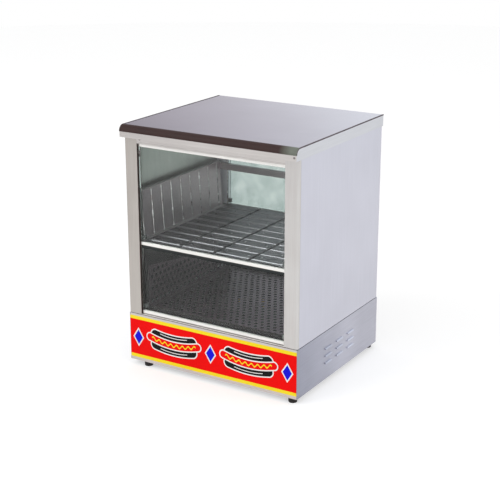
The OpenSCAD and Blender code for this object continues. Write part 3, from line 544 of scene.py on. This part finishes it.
# Deck gasket: a thin round bead of black rubber, extruded and pressed in between the deck's side edges and
# the side panels. It is dull, and keeps light out of the slit.
finish("black_gasket", "#0C0B0C", "#171517", even(3.33), 16.7, (0.5, 0.65), 0.05, Specular_IOR_Level=0.2)
GASKET_R = 0.6
GASKET_OUT = 0.4
GASKET_INSET = 1
deck_low, deck_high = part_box("deck")
gasket_x = deck_high.x / MM + GASKET_OUT
gasket_z = (deck_low.z + deck_high.z) / 2 / MM
gasket_lines = [((sign * gasket_x, deck_low.y / MM + GASKET_INSET, gasket_z),
                 (sign * gasket_x, deck_high.y / MM - GASKET_INSET, gasket_z)) for sign in (-1, 1)]
on_body(rods("deck_gasket", "black_gasket", gasket_lines, GASKET_R), "root")

# Water pan, deep drawn from stainless sheet and dulled by hot water, with the tube element in its
# heat stained sheath, the element's brass nuts, and a cast brass ball valve with a moulded lever
finish("drawn_stainless_pan", "#343436", "#454547", even(4.55), 40, (0.25, 0.45), 0.08, Metallic=1.0)
finish("oxidised_sheath", "#3B3A3F", "#5A5048", (3.33, 16.7, 3.33), 25, (0.3, 0.5), 0.1, Metallic=0.9)
finish("cast_brass", "#B08B45", "#CBA75E", even(2), 16.7, (0.25, 0.4), 0.15, Metallic=1.0)
finish("red_moulding", "#9E1511", "#B81D18", even(2.5), 16.7, (0.3, 0.42), 0.05)
eased("drawn_water_pan", "water_pan", "drawn_stainless_pan", 0.4)
keep("oxidised_sheath", "heating_element")
keep("cast_brass", "element_nuts")
eased("drain_valve", "drain_valve_body", "cast_brass", 0.4)
eased("valve_lever", "drain_lever", "red_moulding", 0.6, 3)

# Controls on the rear panel: a thermostat with an enamelled dial, a rocker switch, two lamps and the cord
# gland, all pushed through the sheet and held from behind. The black mouldings are dull and finely
# textured, the enamel is glossy, and the lenses are of amber plastic that lets some light through.
finish("black_moulding", "#0F0F10", "#1B1B1D", even(1.43), 16.7, (0.45, 0.6), 0.12)
finish("white_moulding", "#D9D8D2", "#E5E4DF", even(2), 16.7, (0.4, 0.5), 0.08)
finish("dial_enamel", "#DEDDD8", "#EAE9E4", even(3.33), 33.3, (0.2, 0.3), 0.02)
finish("amber_lens", "#F08A14", "#FFA024", even(2.5), 20, (0.12, 0.2), 0.02, Transmission_Weight=0.35)
keep("white_moulding", "thermostat_body")
eased("thermostat_dial", "dial_plate", "dial_enamel", 0.2)
eased("thermostat_grip", "thermostat_knob", "black_moulding", 0.7, 3)
eased("switch_frame", "switch_housing", "black_moulding", 0.5, 3)
eased("switch_key", "switch_rocker", "red_moulding", 0.4, 3)
eased("signal_lamps", "pilot_lamps", "amber_lens", 0.8, 3)
eased("cable_gland", "cord_gland", "black_moulding", 0.5)


def lettering(name, finish_name, words, y, body):
    """Printed words that face the rear, as one mesh. A word is its text, its middle in X and Z, and its
    size in millimetres."""
    shape = bmesh.new()
    for text, x, z, size in words:
        curve = bpy.data.curves.new(name, "FONT")
        curve.body = text
        curve.size = size * MM
        curve.align_x = "CENTER"
        curve.align_y = "CENTER"
        curve.extrude = FILM * MM / 2
        word = bpy.data.objects.new(name, curve)
        scene.collection.objects.link(word)
        plain = bpy.data.meshes.new_from_object(
            word.evaluated_get(bpy.context.evaluated_depsgraph_get()))
        bpy.data.objects.remove(word)
        plain.transform(Matrix(((-1, 0, 0, x), (0, 0, 1, y), (0, 1, 0, z), (0, 0, 0, 1))))
        shape.from_mesh(plain)
    piece = new_piece(name, finish_name)
    shape.to_mesh(piece.data)
    on_body(closed(piece), body)
    return piece


# Dial print: temperatures clockwise from the top as the operator sees them, with ticks between, and a
# white line on the knob that points at them. All are screen printed in dull ink.
finish("black_print", "#101012", "#161618", even(3.33), 33.3, (0.4, 0.5))
finish("white_print", "#E8E8E4", "#F4F4F0", even(3.33), 33.3, (0.4, 0.5))
TEMPERATURES = ("0", "30", "50", "70", "90", "110")
DIAL_STEP = 54
NUMBER_R, NUMBER_SIZE = 24.6, 5.4
TICK_R, TICK_END_R, TICK_HALF = 19, 20.8, 0.25
POINTER_R, POINTER_END_R, POINTER_HALF = 6, 16, 0.6
dial_low, dial_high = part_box("dial_plate")
dial_x, dial_z = (dial_low.x + dial_high.x) / 2, (dial_low.z + dial_high.z) / 2
words = []
for i, text in enumerate(TEMPERATURES):
    angle = math.radians(i * DIAL_STEP)
    words.append((text, dial_x - math.sin(angle) * NUMBER_R * MM, dial_z + math.cos(angle) * NUMBER_R * MM,
                  NUMBER_SIZE))
lettering("dial_numbers", "black_print", words, dial_high.y + FILM * MM / 2, "root")
ticks = []
for i in range(2 * len(TEMPERATURES) - 1):
    angle = math.radians(i * DIAL_STEP / 2)
    along, across = Vector((-math.sin(angle), math.cos(angle))), Vector((math.cos(angle), math.sin(angle)))
    ticks.append([along * r + across * w for r, w in (
        (TICK_R, -TICK_HALF), (TICK_R, TICK_HALF), (TICK_END_R, TICK_HALF), (TICK_END_R, -TICK_HALF))])
film("dial_ticks", "black_print", ticks, Vector((dial_x, dial_high.y, dial_z)), "root")
knob_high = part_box("thermostat_knob")[1]
pointer = [(-POINTER_HALF, POINTER_R), (POINTER_HALF, POINTER_R), (POINTER_HALF, POINTER_END_R),
           (-POINTER_HALF, POINTER_END_R)]
film("knob_pointer", "white_print", [pointer], Vector((dial_x, knob_high.y, dial_z)),
     frame["nodes"]["thermostat_knob"]["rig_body"])

# Rocker marks: a line and a ring in white ink, pad printed on the key's tilted face. They tip with the
# key about its pivot.
ROCKER_TILT = math.radians(9)
ROCKER_R = 8
PIVOT_DEPTH = 6
MARK_LIFT, MARK_SIZE = 5.6, 6
switch_low, switch_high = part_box("switch_housing")
pivot = Vector(((switch_low.x + switch_high.x) / 2, switch_high.y - PIVOT_DEPTH * MM,
                (switch_low.z + switch_high.z) / 2))
marks = lettering("rocker_marks", "white_print",
                  [("I", pivot.x, pivot.z + MARK_LIFT * MM, MARK_SIZE),
                   ("O", pivot.x, pivot.z - MARK_LIFT * MM, MARK_SIZE)],
                  pivot.y + (ROCKER_R + FILM / 2) * MM, frame["nodes"]["switch_rocker"]["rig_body"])
tilt = Matrix.Rotation(ROCKER_TILT, 4, "X")
marks.data.transform(Matrix.Translation(pivot) @ tilt @ Matrix.Translation(-pivot))

# Lamp bezels: rings turned from brass and chromed, pressed over the lamps' flanges. The chrome shows as
# bright, sharp glints.
finish("chromed_brass", "#B9B7B4", "#CECCC9", even(2.5), 16.7, (0.12, 0.2), 0.03, Metallic=1.0)
TO_REAR = (-math.pi / 2, 0, 0)
LAMP_FLANGE_R = 6
LAMP_L = 5
lamp_low, lamp_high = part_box("pilot_lamps")
bezel_places = [(x, lamp_high.y - LAMP_L * MM, (lamp_low.z + lamp_high.z) / 2)
                for x in (lamp_low.x + LAMP_FLANGE_R * MM, lamp_high.x - LAMP_FLANGE_R * MM)]
bezel = turned("bezel", "chromed_brass", [
    (6.1, 0), (7.6, 0), (7.6, 1.2), (7.2, 2.0), (6.6, 2.3), (6.1, 2.2), (6.1, 0)])
on_body(spread("lamp_bezels", bezel, bezel_places, "chromed_brass", TO_REAR), "root")

# Hose barbs: three sharp rings on the drain's outlet, turned from the valve's own brass. They hold a
# hose that is pushed over them.
VALVE_R = 9
BARBS_L = 11
OUTLET_LIP = 1
valve_low, valve_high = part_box("drain_valve_body")
barbs_place = (valve_low.x + VALVE_R * MM, valve_high.y - (BARBS_L + OUTLET_LIP) * MM,
               valve_low.z + VALVE_R * MM)
barbs = turned("barbs", "cast_brass", [
    (5.95, 0), (7.1, 0.4), (6.1, 3.4), (7.1, 3.8), (6.1, 6.8), (7.1, 7.2), (6.05, BARBS_L), (5.95, BARBS_L),
    (5.95, 0)])
on_body(spread("hose_barbs", barbs, [barbs_place], "cast_brass", TO_REAR), "root")

# Cabinet walls: side panels of stainless sheet, slid in between the posts' lips. Outside they are brushed
# upright to a pale, even sheen. Inside, steam has left them dull, and a painted shade darkens them below the
# shelf, beside the sausage basket.
finish("brushed_stainless_side", "#C1C1CB", "#C7C7D1", (3.125, 3.125, 111), 90.9, (0.37, 0.40), 0.04,
       Metallic=1.0)
finish("steamed_wall", "#CBCAC5", "#DFDFD9", (16.7, 16.7, 111), 50, (0.34, 0.5), 0.05,
       painted_fade=((0, 0, 1), 0.235, 0.26, "#4A4346"), Metallic=1.0)
SQUARE_ON = 0.7


def faces_inward(normal, middle):
    """Picks the faces that look sideways, toward the part's middle."""
    return abs(normal.x) > SQUARE_ON and normal.x * middle.x < 0


for side in ("left", "right"):
    wall = eased(f"{side}_wall", f"{side}_side_panel", "brushed_stainless_side", 0.2)
    second_finish(wall, "steamed_wall", faces_inward)

# Front and rear frames: posts, heads and thresholds of stainless sheet folded to channels and angles and
# spot welded. The front posts are satin and a little warm, and painted darker towards the left, as painted
# shade. The rear ones are painted pale, and their inner returns nearly white, as painted light from the
# glass.
finish("satin_stainless_upright", "#BCB8B6", "#CAC8C6", UPRIGHT, 111, (0.30, 0.42), 0.08,
       painted_fade=((1, 0, 0), -0.16, 0.1, "#EFEBE6"), Metallic=1.0)
finish("pale_stainless_upright", "#DAD9E2", "#E8E7EE", UPRIGHT, 111, (0.30, 0.42), 0.08, Metallic=0.5)
finish("pale_inner_return", "#F0EFF8", "#FCFCFF", (16.7, 16.7, 33.3), 33.3, (0.35, 0.5), 0.05)
for end in ("front", "rear"):
    for side in ("left", "right"):
        upright = "satin_stainless_upright" if end == "front" else "pale_stainless_upright"
        post = eased(f"{end}_{side}_post", f"{end}_{side}_stile", upright, 0.25)
        if end == "rear":
            second_finish(post, "pale_inner_return", faces_inward)
    eased(f"{end}_head", f"{end}_top_rail", "satin_stainless_front", 0.3)
    eased(f"{end}_threshold", f"{end}_sill", "satin_stainless_front", 0.3)

# Door groove shade: brown silicone tape with a rounded face, stuck on the front posts' returns beside the
# panes, painted dark as the shade in the groove between post and pane. It shows as a thin, dull line.
finish("brown_seal", "#2E1C19", "#3D2925", even(2.5), 16.7, (0.5, 0.6), 0.05)
SILL_DEPTH = 14
SHADE_STRIP_OUTLINE = ((0, 0.8), (0.35, 0.9), (0.5, 1.6), (0.5, 3.4), (0.35, 4.2), (0, 4.3))
sill_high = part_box("front_sill")[1]
head_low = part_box("front_top_rail")[0]
shade_strip_y = sill_high.y - SILL_DEPTH * MM
shade_strip_outlines = [[(sign * (-head_low.x - out * MM), shade_strip_y + back * MM, sill_high.z)
                  for out, back in SHADE_STRIP_OUTLINE] for sign in (-1, 1)]
on_body(prisms("door_seals", "brown_seal", shade_strip_outlines, (0, 0, head_low.z - sill_high.z)),
        "root")

# Inside: a sausage basket of perforated sheet, a ceiling, and the shelf's rails and rack walls, pressed
# from sheet with ribs. Steam dulls and browns the stainless. The basket is painted darker towards its left,
# and its holes' sides and lips nearly black, as painted shade. The ribs carry painted highlights in broken
# streaks, and the flanges and the rear rail are painted lighter, as painted light.
finish("steamed_stainless", "#A5969A", "#C2B3B8", even(3.85), 55.6, (0.32, 0.5), 0.12, Metallic=0.9)
finish("dark_perforated_steel", "#8C7683", "#AD99A6", even(3.85), 55.6, (0.3, 0.45), 0.1,
       painted_fade=((1, 0, 0), -0.14, 0.12, "#A8A0A2"), Metallic=0.9)
finish("sooty_steel", "#1C1718", "#292224", even(3.85), 55.6, (0.5, 0.6), 0.05, Metallic=0.6)
# Painted light: the flanges and the rear rail are painted lighter, and the ribs' flanks carry painted
# highlights in broken streaks.
finish("worn_flange", "#B2ADAE", "#C8C4C4", even(16.7), 33.3, (0.3, 0.42), 0.05, Metallic=0.8)
finish("rubbed_rail", "#9C9698", "#B4AEB0", (71.4, 3.85, 3.85), 55.6, (0.32, 0.45), 0.08, Metallic=0.9)
finish("worn_rib_crests", "#6A5656", "#FFFFFF", (33.3, 33.3, 5.88), 16.7, (0.15, 0.3), 0.05, Metallic=0.35)
BASKET_LIP_X = 147
HOLE_SIDE = 0.5
FLANK_LEAST, FLANK_MOST = 0.25, 0.98
LEVEL_ON = 0.8
keep("dark_perforated_steel", "sausage_basket")
# Painted shade: the holes' sides, which look along Y, and whatever isn't the sloping wall itself out at the
# lips
second_finish(frame["nodes"]["sausage_basket"], "sooty_steel",
              lambda normal, middle: abs(normal.y) > HOLE_SIDE
              or (abs(middle.x) > BASKET_LIP_X * MM and abs(normal.x) < SQUARE_ON))
keep("steamed_stainless", "shelf_rails", "ceiling_panel")
keep("rubbed_rail", "rack_rear_rail")
for side in ("left", "right"):
    rack = eased(f"{side}_rack_wall", f"rack_{side}_wall", "steamed_stainless", 0.12)
    second_finish(rack, "worn_rib_crests",
                  lambda normal, middle: FLANK_LEAST < abs(normal.y) < FLANK_MOST)
    second_finish(rack, "worn_flange", lambda normal, middle: normal.z > LEVEL_ON)

# Hems: the rack walls' front edges and the rear posts' inner edges, rolled over to a round bead so that
# they don't cut. They are painted nearly white in broken streaks, as painted highlights.
finish("rubbed_hem", "#9A8A86", "#FFFFFF", (33.3, 33.3, 5.88), 16.7, (0.15, 0.3), 0.05, Metallic=0.1)
HEM_R = 1.2
RACK_FOOT_X, RACK_TOP_X = 160.5, 166
RACK_FOOT_GAP, RACK_TOP_GAP = 3, 2
HEAD_GAP = 1
rack_low, rack_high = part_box("rack_left_wall")
rear_head_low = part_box("rear_top_rail")[0] / MM
open_x = -rear_head_low.x
post_y = rear_head_low.y
hem_foot, hem_top = rack_low.z / MM, rear_head_low.z - HEAD_GAP
rack_lines = [((sign * RACK_FOOT_X, rack_low.y / MM, hem_foot + RACK_FOOT_GAP),
               (sign * RACK_TOP_X, rack_low.y / MM, rack_high.z / MM - RACK_TOP_GAP)) for sign in (-1, 1)]
on_body(rods("rack_hems", "rubbed_hem", rack_lines, HEM_R), "root")
post_lines = [((sign * open_x, post_y, hem_foot), (sign * open_x, post_y, hem_top)) for sign in (-1, 1)]
on_body(rods("post_hems", "rubbed_hem", post_lines, HEM_R), "root")

# Post covers: pale strips of 0.5 mm sheet, folded to a shallow channel and clipped over the rear posts'
# open side above the shelf. Their nearly white finish is painted light, where the posts' open channels lie in
# shade.
COVER_W = 24
COVER_T = 0.5
COVER_LEG = 5
COVER_OUT = 1.8
COVER_AHEAD = 0.6
COVER_OUTLINE = ((0, 0), (COVER_W, 0), (COVER_W, COVER_LEG), (COVER_W - COVER_T, COVER_LEG),
                 (COVER_W - COVER_T, COVER_T), (COVER_T, COVER_T), (COVER_T, COVER_LEG), (0, COVER_LEG))
cover_outlines = [[Vector((sign * (open_x + COVER_OUT + out), post_y - COVER_AHEAD + back, hem_foot)) * MM
                   for out, back in COVER_OUTLINE] for sign in (-1, 1)]
on_body(prisms("post_covers", "pale_inner_return", cover_outlines, (0, 0, (hem_top - hem_foot) * MM)),
        "root")

# Bun shelf: stainless sheet pressed with ribs and gutters, laid on its rails. The ribs carry painted
# highlights, bright and dull between, in broken streaks along them, and the sheet is painted darker towards
# its left, as painted shade.
RIB_STEP = 32.5
RIB_START = 7
HIGHLIGHT_NEAR, HIGHLIGHT_FAR = 1.5, 8
HIGHLIGHT_SHARE = 0.55
shelf_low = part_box("bun_shelf")[0]
pressed = finish("rubbed_shelf_sheet", "#68656C", "#C6C3C9", (55.6, 4.17, 4.17), 33.3, (0.32, 0.48), 0.1,
                 painted_fade=((1, 0, 0), -0.12, 0.1, "#8A8689"), Metallic=0.9)
tree = pressed.node_tree
surface = next(node for node in tree.nodes if node.type == "BSDF_PRINCIPLED")
tint = surface.inputs["Base Color"].links[0].from_socket
spot = add(tree, "ShaderNodeSeparateXYZ", {0: add(tree, "ShaderNodeTexCoord").outputs["Object"]})
along = add(tree, "ShaderNodeMath", {
    0: spot.outputs["Y"], 1: shelf_low.y + RIB_START * MM}, operation="SUBTRACT")
away = add(tree, "ShaderNodeMath", {0: along.outputs[0], 1: RIB_STEP * MM / 2}, operation="PINGPONG")
highlight_share = add(tree, "ShaderNodeMapRange", {
    "Value": away.outputs[0], "From Min": HIGHLIGHT_NEAR * MM, "From Max": HIGHLIGHT_FAR * MM,
    "To Min": HIGHLIGHT_SHARE, "To Max": 0.0})
bright = add(tree, "ShaderNodeMix", {
    0: highlight_share.outputs[0], 6: tint, 7: linear("#C2C1C6")}, data_type="RGBA")
tree.links.new(bright.outputs[2], surface.inputs["Base Color"])
keep("rubbed_shelf_sheet", "bun_shelf")

# Cover: stainless sheet folded down over the cabinet, brushed across its top and along its skirts, and
# smoother than the walls. Its top is painted darker towards the front left, as a painted reflection. A strip
# of vinyl, dull and finely grained, is glued round its front edge. Its dark brown, which turns grey green
# near its right end, is a painted reflection of a dark room in a rounded edge, and its folded ends are
# darker.
finish("brushed_stainless_top", "#B3B1B9", "#BFBDC5", (83.3, 2.38, 2.38), 111, (0.18, 0.25), 0.04,
       painted_fade=((0.7, 0.7, 0), -0.2, 0.2, "#DAD8DB"), Metallic=1.0)
finish("brushed_stainless_skirt", "#C1C2C7", "#CDCED3", (2.38, 83.3, 2.38), 111, (0.3, 0.4), 0.05,
       Metallic=1.0)
finish("brown_vinyl_nosing", "#656A61", "#767B72", (6.25, 2.5, 2.5), 33.3, (0.45, 0.6), 0.05,
       painted_fade=((1, 0, 0), 0.150, 0.174, "#8E6569"), Specular_IOR_Level=0.15)
finish("dark_nosing_leg", "#352B30", "#6E646A", (6.25, 8.33, 6.25), 16.7, (0.45, 0.6), 0.05,
       Specular_IOR_Level=0.15)
NOSING_LEG_X = 184
cover = eased("folded_cover", "top_cover", "brushed_stainless_top", 0.3)
second_finish(cover, "brushed_stainless_skirt", lambda normal, middle: abs(normal.x) > SQUARE_ON)
second_finish(cover, "satin_stainless_front", lambda normal, middle: normal.y < -SQUARE_ON)
keep("brown_vinyl_nosing", "cover_nosing")
second_finish(frame["nodes"]["cover_nosing"], "dark_nosing_leg",
              lambda normal, middle: abs(middle.x) > NOSING_LEG_X * MM)

# Case screws: zinc plated pan heads with a cross recess, driven into the cover's skirt and the front rail,
# and larger ones into the rear panels. Places are in X and Z.
CROSS_FLOOR, CROSS_TOP = 0.3, 1.5
TO_FRONT = (math.pi / 2, 0, 0)
FRONT_SCREW_R, REAR_SCREW_R = 2, 2.5
SKIRT_SCREW = (181.5, 459.5)
RAIL_SCREW = (-150, 450)
REAR_SCREW_X = 176
REAR_SCREW_HEIGHTS = (19, 98.9, 463.1)


def cross_screw(radius):
    """A pan head with a cross cut in it, its seat at the origin and its head up Z."""
    head = turned("head", "zinc_screws", [
        (radius, 0), (radius, 0.25), (0.93 * radius, 0.52), (0.7 * radius, 0.72), (0.1 * radius, 0.8)])
    a, b = 0.14 * radius, 0.62 * radius
    ring = [(a, b), (a, a), (b, a), (b, -a), (a, -a), (a, -b), (-a, -b), (-a, -a), (-b, -a), (-b, a), (-a, a),
            (-a, b)]
    recess = [Vector((x, y, CROSS_FLOOR)) * MM for x, y in ring]
    cross = prisms("cross", "zinc_screws", [recess], (0, 0, (CROSS_TOP - CROSS_FLOOR) * MM))
    cut = head.modifiers.new("recess", "BOOLEAN")
    cut.object = cross
    settled(head)
    bpy.data.objects.remove(cross)
    return head


front_places = [(x * MM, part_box(node)[0].y, z * MM)
                for node, (x, z) in (("top_cover", SKIRT_SCREW), ("front_top_rail", RAIL_SCREW))]
stands_for(spread("front_case_screws", cross_screw(FRONT_SCREW_R), front_places, "zinc_screws", TO_FRONT),
           "case_screws")
rear_places = [(sign * REAR_SCREW_X * MM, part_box("base_rear_panel")[1].y, z * MM)
               for sign in (-1, 1) for z in REAR_SCREW_HEIGHTS]
on_body(spread("rear_case_screws", cross_screw(REAR_SCREW_R), rear_places, "zinc_screws", TO_REAR),
        "root")

# Doors: tempered panes held between a pivot strip and a handle bar of extruded aluminium, on steel pins in
# moulded nylon bushes, with silicone stops. The bars are anodised and bright, with a soft sheen along them,
# but the lower doors' pivot strips, under the upper handles, are painted nearly black, as painted shade.
# The nylon is a dull cream.
finish("natural_nylon", "#D6D3C6", "#E2DFD3", even(2.5), 16.7, (0.4, 0.5), 0.05)
finish("grey_silicone", "#4A4C4C", "#5A5C5C", even(2.5), 16.7, (0.5, 0.6), 0.1)
finish("bright_aluminium", "#ECEAE6", "#F8F6F2", (71.4, 2, 2), 83.3, (0.35, 0.45), 0.04, Metallic=0.5)
finish("dark_anodised_bar", "#1B1D1D", "#2B2E2E", (71.4, 2, 2), 83.3, (0.35, 0.5), 0.04, Metallic=0.6)
keep("natural_nylon", "pivot_bushes")
keep("grey_silicone", "door_stops")


def pane(name, dark, light, cloud):
    """Tempered glass with a faint film in patches, cloud millimetres across. It lets the lamps' light
    through to what is behind it. Its IOR is under that of glass, as the photographed panes mirror little."""
    made = bpy.data.materials.new(name)
    made.use_nodes = True
    tree = made.node_tree
    tree.nodes.clear()
    place = add(tree, "ShaderNodeTexCoord").outputs["Object"]
    patch = add(tree, "ShaderNodeTexNoise", {"Vector": place, "Scale": 1 / (cloud * MM), "Detail": 3.0})
    share = add(tree, "ShaderNodeMapRange", {
        "Value": patch.outputs["Fac"], "From Min": 0.35, "From Max": 0.65})
    tint = add(tree, "ShaderNodeMix", {
        0: share.outputs[0], 6: linear(dark), 7: linear(light)}, data_type="RGBA").outputs[2]
    path = add(tree, "ShaderNodeLightPath")
    glass = add(tree, "ShaderNodeBsdfPrincipled", {
        "Base Color": tint, "Roughness": 0.0, "IOR": 1.3, "Transmission Weight": 1.0})
    clear = add(tree, "ShaderNodeBsdfTransparent", {"Color": tint})
    shown = add(tree, "ShaderNodeMixShader", {
        0: path.outputs["Is Shadow Ray"], 1: glass.outputs[0], 2: clear.outputs[0]})
    add(tree, "ShaderNodeOutputMaterial", {"Surface": shown.outputs[0]})
    return made


# Panes and bars: the front panes are wiped clear, and the rear ones are grey green with dried steam. The
# upper doors hang from bright strips and the lower doors from strips painted dark, as painted shade.
pane("clear_tempered_glass", "#F0F5F2", "#F7FAF8", 50)
pane("steamed_tempered_glass", "#8E9B99", "#AAB4B2", 33.3)
for end, glass in (("front", "clear_tempered_glass"), ("rear", "steamed_tempered_glass")):
    for height, bar in (("upper", "bright_aluminium"), ("lower", "dark_anodised_bar")):
        keep(glass, f"{end}_{height}_glass")
        eased(f"{end}_{height}_pivot_bar", f"{end}_{height}_strip", bar, 0.3)
        eased(f"{end}_{height}_pull", f"{end}_{height}_handle", "bright_aluminium", 0.6, 3)
        keep("zinc_screws", f"{end}_door_pins_{height}")
